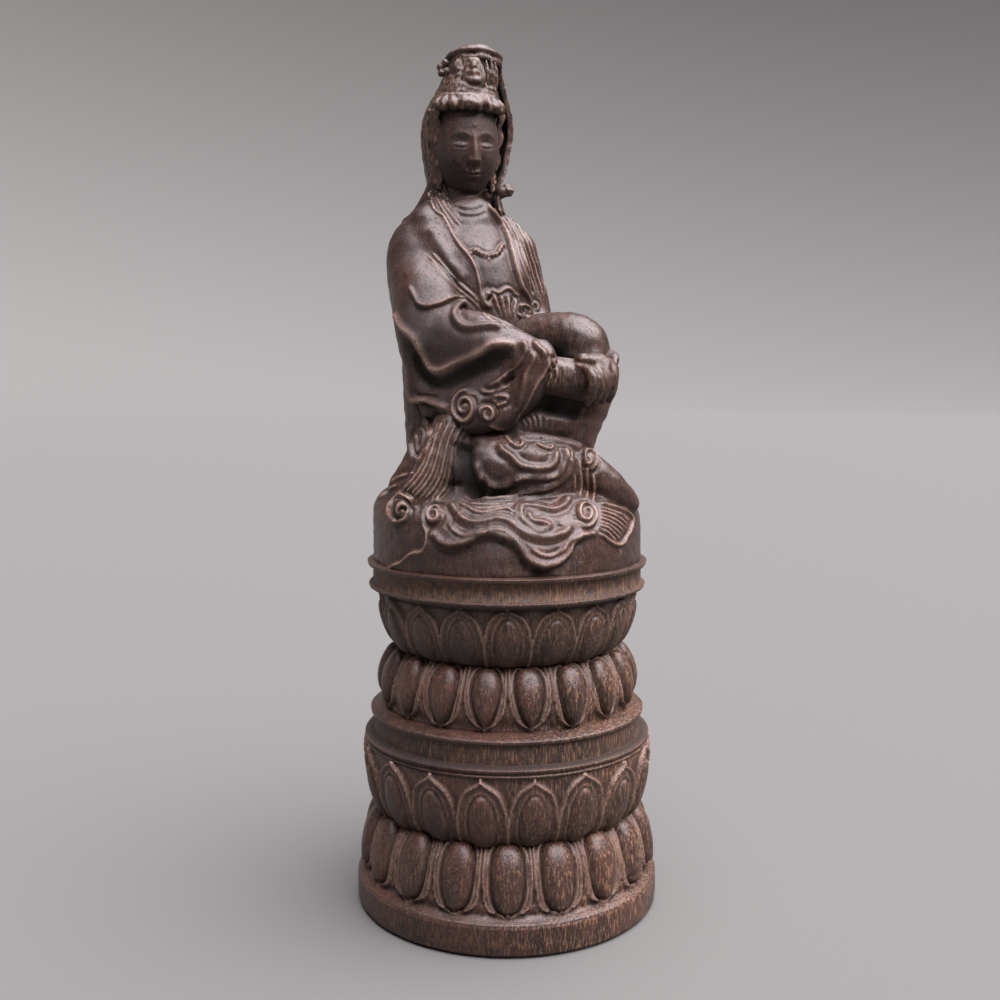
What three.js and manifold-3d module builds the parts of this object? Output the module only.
// A small carved wooden figure: a veiled woman seated at ease on a rock, one knee raised and clasped by
// both hands, cut from one block together with its round stand of two lotus thrones. Millimetres, +Z up,
// the figure looks along -Y, and the origin is the middle of the underside.
import * as THREE from "three";
import { mergeVertices } from "three/addons/utils/BufferGeometryUtils.js";
import Module from "manifold-3d";

const wasm = await Module();
wasm.setup();

// Stand: radii at the widest places, and the heights of its tiers from the table up.
const footRadius = 17.9;
const footHeight = 3.6;
const petalCount = 18;
const petalDepth = 0.9;
const petalTurn = (-2 * Math.PI) / 3;
const lowerWaistRadius = 14.2;
const lowerPetalRadius = 16.8;
const lowerPetalDrop = 7.7;
const lowerCupRadius = 16.8;
const lowerCupHeight = 8;
const beadHeight = 1.2;
const lowerBandHeight = 2.2;
const lipHeight = 0.5;
const stepRadius = 16.1;
const upperWaistRadius = 12.4;
const upperPetalRadius = 14.8;
const upperPetalDrop = 7.2;
const upperCupRadius = 15.2;
const upperCupHeight = 6.8;
const upperBandHeight = 2.6;
const bandSetback = 0.6;
const rimRadius = 16.4;
const rimHeight = 0.6;
const lipOverhang = 0.3;
const chamfer = 0.1;
const lap = 0.4;

// Figure: its own height above the rim, and how far the rock that it sits on stands back from the rim. The
// pose is written for a height of poseHeight and a rock of poseRadius, and follows both when they change.
const figureHeight = 61.4;
const rockSetback = 0.8;
const poseHeight = 61.4;
const poseRadius = 15.6;

// Fineness of the facets.
const petalFacets = 3;
const turnedFacets = 36;
const rockFacets = 27;
const rockRows = 6;
const limbFacets = 9;
const limbRows = 6;
const longFormRows = 10;
const cordSides = 4;
const cordStepsPerPoint = 1.2;
const scrollPointsPerTurn = 5;

const wood = new THREE.MeshStandardMaterial({ color: 0x3b2620, roughness: 0.45, metalness: 0 });

// A closed three.js geometry as a manifold-3d solid.
function solid(geometry) {
  const position = new THREE.BufferGeometry();
  const bare = geometry.index ? geometry.toNonIndexed() : geometry;
  position.setAttribute("position", bare.getAttribute("position"));
  const merged = mergeVertices(position, 1e-4);
  const mesh = new wasm.Mesh({
    numProp: 3,
    vertProperties: merged.attributes.position.array,
    triVerts: new Uint32Array(merged.index.array),
  });
  return new wasm.Manifold(mesh);
}

// A manifold-3d solid as a three.js geometry.
function geometryOf(body) {
  const mesh = body.getMesh();
  const geometry = new THREE.BufferGeometry();
  geometry.setAttribute("position", new THREE.BufferAttribute(mesh.vertProperties, mesh.numProp));
  geometry.setIndex(new THREE.BufferAttribute(mesh.triVerts, 1));
  return geometry;
}

// A closed grid: a sphere's grid with each point moved to place(along, around), both from 0 to 1. Its first
// and last rows close at a point.
function closedGrid(rows, columns, place) {
  const grid = new THREE.SphereGeometry(1, columns, rows);
  const position = grid.attributes.position;
  for (let row = 0; row <= rows; row++) {
    for (let column = 0; column <= columns; column++) {
      const point = place(row / rows, (column % columns) / columns);
      position.setXYZ(row * (columns + 1) + column, point.x, point.y, point.z);
    }
  }
  return solid(grid);
}

// A smooth value through a list of numbers, with t from 0 at the first to 1 at the last.
function through(values, t) {
  const last = values.length - 1;
  const place = Math.min(Math.max(t, 0), 1) * last;
  const index = Math.min(Math.floor(place), last - 1);
  const f = place - index;
  const [a, b, c, d] = [-1, 0, 1, 2].map((step) => values[Math.min(Math.max(index + step, 0), last)]);
  const bend = 2 * a - 5 * b + 4 * c - d;
  const twist = 3 * b - a - 3 * c + d;
  return 0.5 * (2 * b + (c - a) * f + bend * f ** 2 + twist * f ** 3);
}

// Heights of the stand's tiers, worked out from the table up.
const lowerWaistHeight = footHeight + lowerPetalDrop;
const beadFoot = lowerWaistHeight + lowerCupHeight;
const lowerBandFoot = beadFoot + beadHeight;
const stepTop = lowerBandFoot + lowerBandHeight + lipHeight;
const upperWaistHeight = stepTop + upperPetalDrop;
const upperBandFoot = upperWaistHeight + upperCupHeight;
const rimTop = upperBandFoot + lipHeight + upperBandHeight + rimHeight;

// A point of the pose, [x, y, height above the rim], where it stands in the part.
function seated(x, y, z) {
  const spread = (rimRadius - rockSetback) / poseRadius;
  return new THREE.Vector3(x * spread, y * spread, rimTop + (z * figureHeight) / poseHeight);
}

// A round turned body through [radius, height] pairs from its underside to its top.
function turned(profile, columns = turnedFacets, swell = () => 0, phase = 0) {
  const rings = [[0, profile[0][1]], ...profile, [0, profile.at(-1)[1]]];
  const last = rings.length - 1;
  return closedGrid(last, columns, (v, u) => {
    const index = Math.round((1 - v) * last);
    const [radius, height] = rings[index];
    const angle = petalTurn + 2 * Math.PI * (u + phase / petalCount);
    const out = radius > 0 ? radius + swell(index - 1, u) : 0;
    return new THREE.Vector3(Math.cos(angle) * out, Math.sin(angle) * out, height);
  });
}

// How far a lotus petal stands out, as a share of its depth, from across -1 to 1 and from its root at reach 0
// to its tip at reach 1. It keeps its full width to pointedFrom and then narrows to a blunt tip.
function petal(across, reach) {
  const pointedFrom = 0.5;
  const bluntTip = 0.02;
  const half = 1 - (Math.max(reach - pointedFrom, 0) / (1 - pointedFrom + bluntTip)) ** 2;
  const inside = Math.abs(across) < half ? Math.sqrt(1 - (across / half) ** 2) : 0;
  return inside * Math.sin(Math.PI * (0.1 + 0.8 * reach)) ** 0.5;
}

// One row of petals between two heights, hanging or standing, swelling from the waist to its bulge and drawn
// in a little at its tips. A petal of shift 0 looks along petalTurn, and each third facet edge is a valley.
function petalRow(bottom, top, waist, bulge, standing, shift) {
  const fullAt = 0.55;
  const tipSettle = 0.5;
  const reaches = [0, 0.3, 0.7, 1];
  const rows = standing ? reaches : reaches.map((reach) => 1 - reach).reverse();
  const reachOf = (row) => (standing ? rows[row] : 1 - rows[row]);
  const profile = rows.map((t, row) => {
    const swell = Math.sin((Math.PI / 2) * Math.min(reachOf(row) / fullAt, 1)) ** 0.8;
    const settle = tipSettle * (Math.max(reachOf(row) - fullAt, 0) / (1 - fullAt)) ** 2;
    return [waist + (bulge - waist) * swell - settle, bottom + (top - bottom) * t];
  });
  const swell = (row, u) => {
    const across = 2 * ((petalCount * u) % 1) - 1;
    return petalDepth * (petal(across, reachOf(row)) - 0.5);
  };
  return turned(profile, petalCount * petalFacets, swell, shift - 0.5);
}

// The stand: turned foot, beads, bands and rim, with four rows of petals between them.
function stand() {
  const bead = (bottom) => [
    [lowerCupRadius - lipOverhang, bottom],
    [lowerCupRadius - lipOverhang + beadHeight / 4, bottom + beadHeight / 4],
    [lowerCupRadius - lipOverhang, bottom + beadHeight / 2],
  ];
  const foot = turned([
    [footRadius - lipOverhang, 0],
    [footRadius, lipOverhang],
    [footRadius, footHeight - lipOverhang],
    [footRadius - lipHeight, footHeight],
    [lowerWaistRadius, footHeight + lap],
  ]);
  const step = turned([
    [lowerWaistRadius, beadFoot - lap],
    ...bead(beadFoot),
    ...bead(lowerBandFoot - beadHeight / 2),
    [stepRadius - lipOverhang, lowerBandFoot + chamfer],
    [stepRadius - lipOverhang, stepTop - lipHeight],
    [stepRadius, stepTop - lipHeight + chamfer],
    [stepRadius, stepTop - chamfer],
    [upperWaistRadius, stepTop + lap],
  ]);
  const rim = turned([
    [upperWaistRadius, upperBandFoot - lap],
    [rimRadius - chamfer, upperBandFoot],
    [rimRadius - chamfer, upperBandFoot + lipHeight - chamfer],
    [rimRadius - bandSetback, upperBandFoot + lipHeight],
    [rimRadius - bandSetback, rimTop - rimHeight],
    [rimRadius, rimTop - rimHeight + chamfer],
    [rimRadius, rimTop],
  ]);
  return [
    foot,
    petalRow(footHeight, lowerWaistHeight, lowerWaistRadius, lowerPetalRadius, false, 0),
    petalRow(lowerWaistHeight, beadFoot, lowerWaistRadius, lowerCupRadius, true, 0.5),
    step,
    petalRow(stepTop, upperWaistHeight, upperWaistRadius, upperPetalRadius, false, 0.5),
    petalRow(upperWaistHeight, upperBandFoot, upperWaistRadius, upperCupRadius, true, 0),
    rim,
  ];
}

// The rock: upright at the rim, rounded over to a rough top. Its last two rows are its flat underside.
function rock() {
  const height = 8.4;
  const sink = 0.5;
  return closedGrid(rockRows + 1, rockFacets, (v, u) => {
    const angle = 2 * Math.PI * u;
    const t = Math.max(1 - (v * (rockRows + 1)) / rockRows, 0);
    const draw = Math.cos((Math.PI / 2) * t ** 3);
    const rough = 1 - 0.02 * Math.sin(5 * angle + 6 * t) - 0.015 * Math.cos(9 * angle - 4 * t);
    const out = v === 0 || v === 1 ? 0 : poseRadius * draw * rough;
    const z = (height + sink) * Math.sin((Math.PI / 2) * t) - sink;
    return seated(Math.cos(angle) * out, Math.sin(angle) * out, z);
  });
}

// A form of the figure, swept along stations of [x, y, height above the rim, half width, half depth], with
// rounded ends. Its width lies along the side direction.
function form(stations, { side = [1, 0, 0], along = limbRows, dome = 1 } = {}) {
  const ends = 0.18;
  const [xs, ys, zs, widths, depths] = [0, 1, 2, 3, 4].map((k) => stations.map((station) => station[k]));
  const centre = (t) => new THREE.Vector3(through(xs, t), through(ys, t), through(zs, t));
  const hint = new THREE.Vector3(...side);
  return closedGrid(along, limbFacets, (v, u) => {
    const t = Math.min(Math.max((v - ends) / (1 - 2 * ends), 0), 1);
    const beyond = v < ends ? v / ends - 1 : Math.max((v - 1 + ends) / ends, 0);
    const shrink = beyond ** 2 > 1 - 1e-9 ? 0 : Math.sqrt(1 - beyond ** 2);
    const tangent = centre(Math.min(t + 0.02, 1)).sub(centre(Math.max(t - 0.02, 0))).normalize();
    const across = hint.clone().addScaledVector(tangent, -hint.dot(tangent)).normalize();
    const out = tangent.clone().cross(across);
    const width = through(widths, t);
    const depth = through(depths, t);
    const angle = 2 * Math.PI * u;
    const point = centre(t)
      .addScaledVector(tangent, Math.min(width, depth) * beyond * dome)
      .addScaledVector(across, Math.cos(angle) * width * shrink)
      .addScaledVector(out, -Math.sin(angle) * depth * shrink);
    return seated(point.x, point.y, point.z);
  });
}

// A ridge of cloth or hair along points of the pose, thick in its middle and thin at its ends.
function cord(points, radius, thin = 0.5) {
  const vectors = points.map((point) => new THREE.Vector3(...point));
  const path = new THREE.CatmullRomCurve3(vectors, false, "centripetal");
  const steps = Math.round(cordStepsPerPoint * points.length) + 2;
  const frames = path.computeFrenetFrames(steps - 2);
  return closedGrid(steps, cordSides, (v, u) => {
    const row = Math.min(Math.max(Math.round(v * steps) - 1, 0), steps - 2);
    const t = row / (steps - 2);
    const thick = v === 0 || v === 1 ? 0 : radius * (thin + (1 - thin) * Math.sin(Math.PI * t));
    const angle = -2 * Math.PI * u;
    const point = path
      .getPoint(t)
      .addScaledVector(frames.normals[row], Math.cos(angle) * thick)
      .addScaledVector(frames.binormals[row], Math.sin(angle) * thick);
    return seated(point.x, point.y, point.z);
  });
}

// A scroll: a ridge rolled in on itself round a middle that faces outwards along an azimuth in degrees.
function scroll(middle, facing, radius, turns, start, thickness) {
  const across = [-Math.sin((facing * Math.PI) / 180), Math.cos((facing * Math.PI) / 180)];
  const count = Math.round(scrollPointsPerTurn * turns) + 1;
  const points = Array.from({ length: count }, (_, index) => {
    const t = index / (count - 1);
    const angle = start + 2 * Math.PI * turns * t;
    const reach = radius * (1 - 0.8 * t);
    const sideways = reach * Math.cos(angle);
    return [
      middle[0] + sideways * across[0],
      middle[1] + sideways * across[1],
      middle[2] + reach * Math.sin(angle),
    ];
  });
  return cord(points, thickness, 0.8);
}

// For forms that lie down: their width stands upright.
const level = { side: [0, 0, 1] };

const trunk = [
  // Hips and lap.
  form([
    [-0.6, 4.6, 5, 9.6, 9], [-0.5, 5, 11, 8.2, 8.2], [-0.4, 5.2, 17, 7.6, 7.6],
    [-0.5, 5.6, 23, 7.4, 6.6],
  ]),
  form([[-5.4, 0.6, 7, 5, 5.4], [-5.4, 0.6, 13, 4.6, 4.8], [-5.6, 0.8, 20, 3.6, 3.6]]),
  form([[1.4, -1.4, 7.6, 5.4, 6.4], [2.2, -2.4, 14, 4.8, 5], [2.2, -0.6, 20, 4.4, 4.6]]),
  // Waist, chest and neck.
  form([
    [-0.5, 5.6, 19, 7.2, 6.6],
    [-0.6, 5.2, 29.4, 6.4, 5.9],
    [-0.7, 7.6, 35, 6.6, 4.6],
    [-0.8, 8.8, 39, 4.6, 3.2],
    [-0.8, 9, 40.6, 2.8, 2.4],
  ]),
  form([[-0.8, 9.2, 38, 2.8, 2.6], [-0.8, 8.8, 44, 2.4, 2.4]]),
];

const head = [
  // Face, turned a little to the right, and the tall crown of hair.
  form([[-1.1, 7.4, 44.8, 2.4, 2.6], [-1, 7.8, 47.6, 3.8, 4.1], [-0.8, 8.4, 51.4, 4, 4.2]], {
    side: [0.97, -0.24, 0],
  }),
  form([[-0.6, 8.6, 51.4, 4.4, 4.4], [-0.4, 8.4, 54.6, 3.9, 4], [0.1, 8.8, 58.6, 3, 3.2]], { dome: 0.6 }),
  // Hood.
  form(
    [
      [0, 10.6, 40, 4.4, 3.8],
      [-0.1, 10.8, 44, 4.9, 4.2],
      [0, 10.8, 49, 5.7, 4.8],
      [0.3, 10.6, 53, 5.4, 4.8],
      [0.4, 10.4, 55.6, 4.6, 4.4],
      [0.5, 10, 58.6, 3.7, 3.8],
      [0.5, 9.6, 60, 3.2, 3.3],
    ],
    { dome: 0.4, along: longFormRows },
  ),
  // Veil over the shoulders and down the back.
  form(
    [
      [-0.3, 11, 44, 4.2, 3],
      [-0.5, 11.2, 40.4, 7, 3.2],
      [-0.9, 10.8, 37, 8.6, 3.6],
      [-0.6, 10.8, 30, 7.4, 3.4],
      [0.8, 10.6, 18, 6.2, 3.6],
      [0.6, 10.4, 7, 7.4, 3.6],
    ],
    { side: [0.99, -0.13, 0], along: longFormRows },
  ),
];

const arms = [
  // Right sleeve: upper arm, forearm, the fall from the elbow, the hanging mouth.
  form([
    [-6.8, 9.2, 36.9, 4, 4], [-7.4, 8.3, 33, 3.9, 4], [-8, 5.8, 29, 4, 4.4],
    [-8.3, 2.6, 25, 4.1, 4.4],
  ]),
  form(
    [
      [-8.2, 2.6, 24.6, 4.2, 3.8], [-5.8, -3.4, 24.4, 3.9, 3], [-2.4, -7.6, 23.2, 2.6, 2.2],
      [-1, -9.2, 22.6, 2, 1.8],
    ],
    level,
  ),
  form([[-8.2, 3.4, 23, 3.5, 3], [-8, 4, 16, 3, 3], [-7.4, 4.4, 9, 3, 3]]),
  form([[-5.6, -2.8, 23, 6.6, 2.8], [-6, -4, 19.6, 6.2, 2.6], [-6.6, -5.2, 16.6, 4.4, 2]], {
    side: [0.6, -0.8, 0],
  }),
  // Right forearm and hand.
  form([[-1.4, -8.6, 22.4, 1.9, 1.7], [2.4, -10.6, 21.4, 2, 1.7], [5.8, -10.6, 20.9, 2.2, 1.6]], level),
  // Left arm, and its hand laid over the other.
  form([[4.8, 8.4, 36.2, 3.2, 3.2], [5.8, 7.6, 31.5, 2.8, 2.8], [6.6, 6.2, 27, 2.4, 2.6]]),
  form(
    [
      [6.6, 5.6, 27, 2.4, 2.4], [7.8, -0.4, 24.8, 2, 2], [8, -5.4, 23.4, 1.5, 1.5],
      [6.8, -9.8, 22.4, 1.1, 1.2],
    ],
    level,
  ),
];

const legs = [
  // Left leg: raised thigh, shin, foot.
  form(
    [
      [2.6, 4, 20.5, 4, 4], [3.8, -1.4, 24.4, 3.3, 3.3], [5.6, -5.6, 25.3, 3.2, 3.2],
      [6.2, -7, 24.9, 2.9, 2.9],
    ],
    level,
  ),
  form([
    [6, -6.8, 23.4, 3, 3], [5.6, -7.2, 18.5, 2.8, 3], [5, -7.2, 13.5, 2.8, 3],
    [5.2, -7.6, 9.6, 2.6, 2.8],
  ]),
  form([[5.4, -7.6, 11, 2.2, 2.2], [8.2, -10.2, 8.6, 1.8, 1.7], [10.2, -11.4, 6.7, 1.2, 1]], level),
  // Right leg: folded thigh with its knee, shin across the front.
  form([[-3.2, 4, 10.6, 4.6, 5], [-4.4, -2, 11, 4.4, 5], [-4.6, -5.2, 10.6, 3.9, 4.6]], level),
  form([[-4.6, -6, 9.4, 3.6, 3.6], [-0.6, -8.4, 8.6, 3.2, 3.2], [3.6, -9, 6.8, 2.8, 2.8]], level),
];

const carving = [
  // Edges of the hood down to the waist, its cap, the band of hair.
  cord(
    [
      [-2.9, 7.6, 59], [-4.2, 8, 54.6], [-5, 8.2, 50], [-4.6, 8.2, 45.6], [-4.4, 7.2, 41],
      [-4.3, 4.4, 37], [-3.2, 1, 32.2], [-2.8, -0.4, 29.4],
    ],
    0.6,
    0.7,
  ),
  cord(
    [
      [3.2, 7.4, 59], [4.4, 7.8, 54.6], [4.9, 8, 50], [4.5, 8.2, 45.6], [3.9, 7.8, 42],
      [3.8, 5.6, 37.7], [3.2, 1.6, 32.2], [2.4, -0.4, 29.4],
    ],
    0.6,
    0.7,
  ),
  cord([[-3.2, 9, 58.4], [-1.6, 6.2, 59.4], [1, 5.9, 59.8], [3.4, 7.6, 59.2]], 0.6),
  cord([[-4.4, 8, 53.2], [-3.4, 5.4, 53.2], [-1.2, 4.2, 53.3], [1.2, 4.6, 53.4], [3.4, 6.4, 53.6]], 0.8),
  // Right sleeve: shawl line, outer hem, mouth and cuff, and two scrolls.
  cord(
    [
      [-8.1, 5, 35.1], [-5.9, 3.2, 32.3], [-4.9, 0.6, 30], [-5.4, -4.2, 28], [-4.1, -6.9, 26.6],
      [-2.9, -8.8, 25.2],
    ],
    0.5,
  ),
  cord(
    [
      [-12.1, 4.6, 28], [-11.8, 0.9, 25.2], [-10.9, -0.2, 22.6], [-9.9, -1.6, 21.2],
      [-8.7, -3.8, 22], [-7.3, -5.8, 23.2], [-5.7, -7.5, 24.3], [-4.2, -8.7, 24.5],
    ],
    0.6,
  ),
  cord(
    [
      [-1.2, -10.6, 23], [-2.2, -9.8, 20], [-3.6, -8.9, 17.6], [-5, -8, 15.8], [-7.2, -6.9, 15.2],
    ],
    0.6,
  ),
  cord([[-1.8, -9.8, 24.8], [-1.2, -10.6, 23.6], [-0.7, -11, 22.2], [-0.6, -10.6, 20.6]], 0.5),
  scroll([-8.6, -5.6, 17.4], -143, 1.7, 1.4, 0.6, 0.45),
  scroll([-10.8, 2.4, 14.6], -168, 1.9, 1.3, 2, 0.45),
  // Folds that fall from the hip, over the folded knee and down the rock.
  cord([[-8.8, -2.1, 15.6], [-9.9, -0.9, 11.6], [-11.4, -1.2, 8.4], [-13.4, -2.2, 7.4]], 0.6),
  cord([[-9.6, -0.2, 15], [-10.2, 1.2, 11.9], [-11, 2.6, 8.6], [-13, 2.4, 7]], 0.5),
  cord(
    [
      [-7.5, -7.8, 9.8], [-6.6, -9, 9.2], [-4.4, -10.2, 9.6], [-1.6, -11.1, 10], [1.3, -10.2, 11],
      [2.8, -9, 13],
    ],
    0.5,
  ),
  cord(
    [
      [-9.2, -6.8, 8], [-7.5, -9.4, 7.7], [-4.4, -10.8, 7.6], [-1, -11.6, 8.6], [1.8, -11, 10],
      [3.6, -9.8, 12.6],
    ],
    0.6,
  ),
  cord(
    [
      [-10.6, -6.8, 7.6], [-10.8, -9.6, 6.6], [-8.4, -12.8, 6.2], [-5.2, -14.5, 4.4],
      [-3.2, -15, 4.2], [0.8, -14.8, 6],
    ],
    0.6,
  ),
  cord(
    [
      [-13.2, -6.4, 5], [-11.8, -9.4, 3.4], [-9.6, -12.2, 4.8], [-6.8, -14, 3.4], [-4.1, -15, 1.2],
      [-2.2, -15.4, 2], [-0.6, -15.2, 3.9], [2, -14.9, 4.6],
    ],
    0.6,
  ),
  cord(
    [
      [1.2, -13.4, 7.6], [-1.9, -13.7, 7], [-4.6, -13.2, 7.4], [-6.2, -13.5, 6.3],
      [-4.6, -14.4, 5.4],
    ],
    0.5,
  ),
  scroll([-14.9, -1.8, 6.2], -173, 1.9, 1.5, 1, 0.5),
  scroll([1, -14.9, 6.2], -90, 1.4, 1.4, 1, 0.45),
  // Curl of hair beside the neck.
  scroll([4.9, 7.9, 44], -80, 1.1, 1.2, 2, 0.5),
];

// The same body with any pocket filled that the joined forms shut in between them.
function filled(body) {
  return wasm.Manifold.union(body.decompose().filter((skin) => skin.volume() > 0));
}

const pieces = [...stand(), rock(), ...trunk, ...head, ...arms, ...legs, ...carving];
const body = filled(wasm.Manifold.union(pieces));
const figure = new THREE.Mesh(geometryOf(body), wood);
figure.name = "guanyin_figure";

const group = new THREE.Group();
group.add(figure);

export default group;
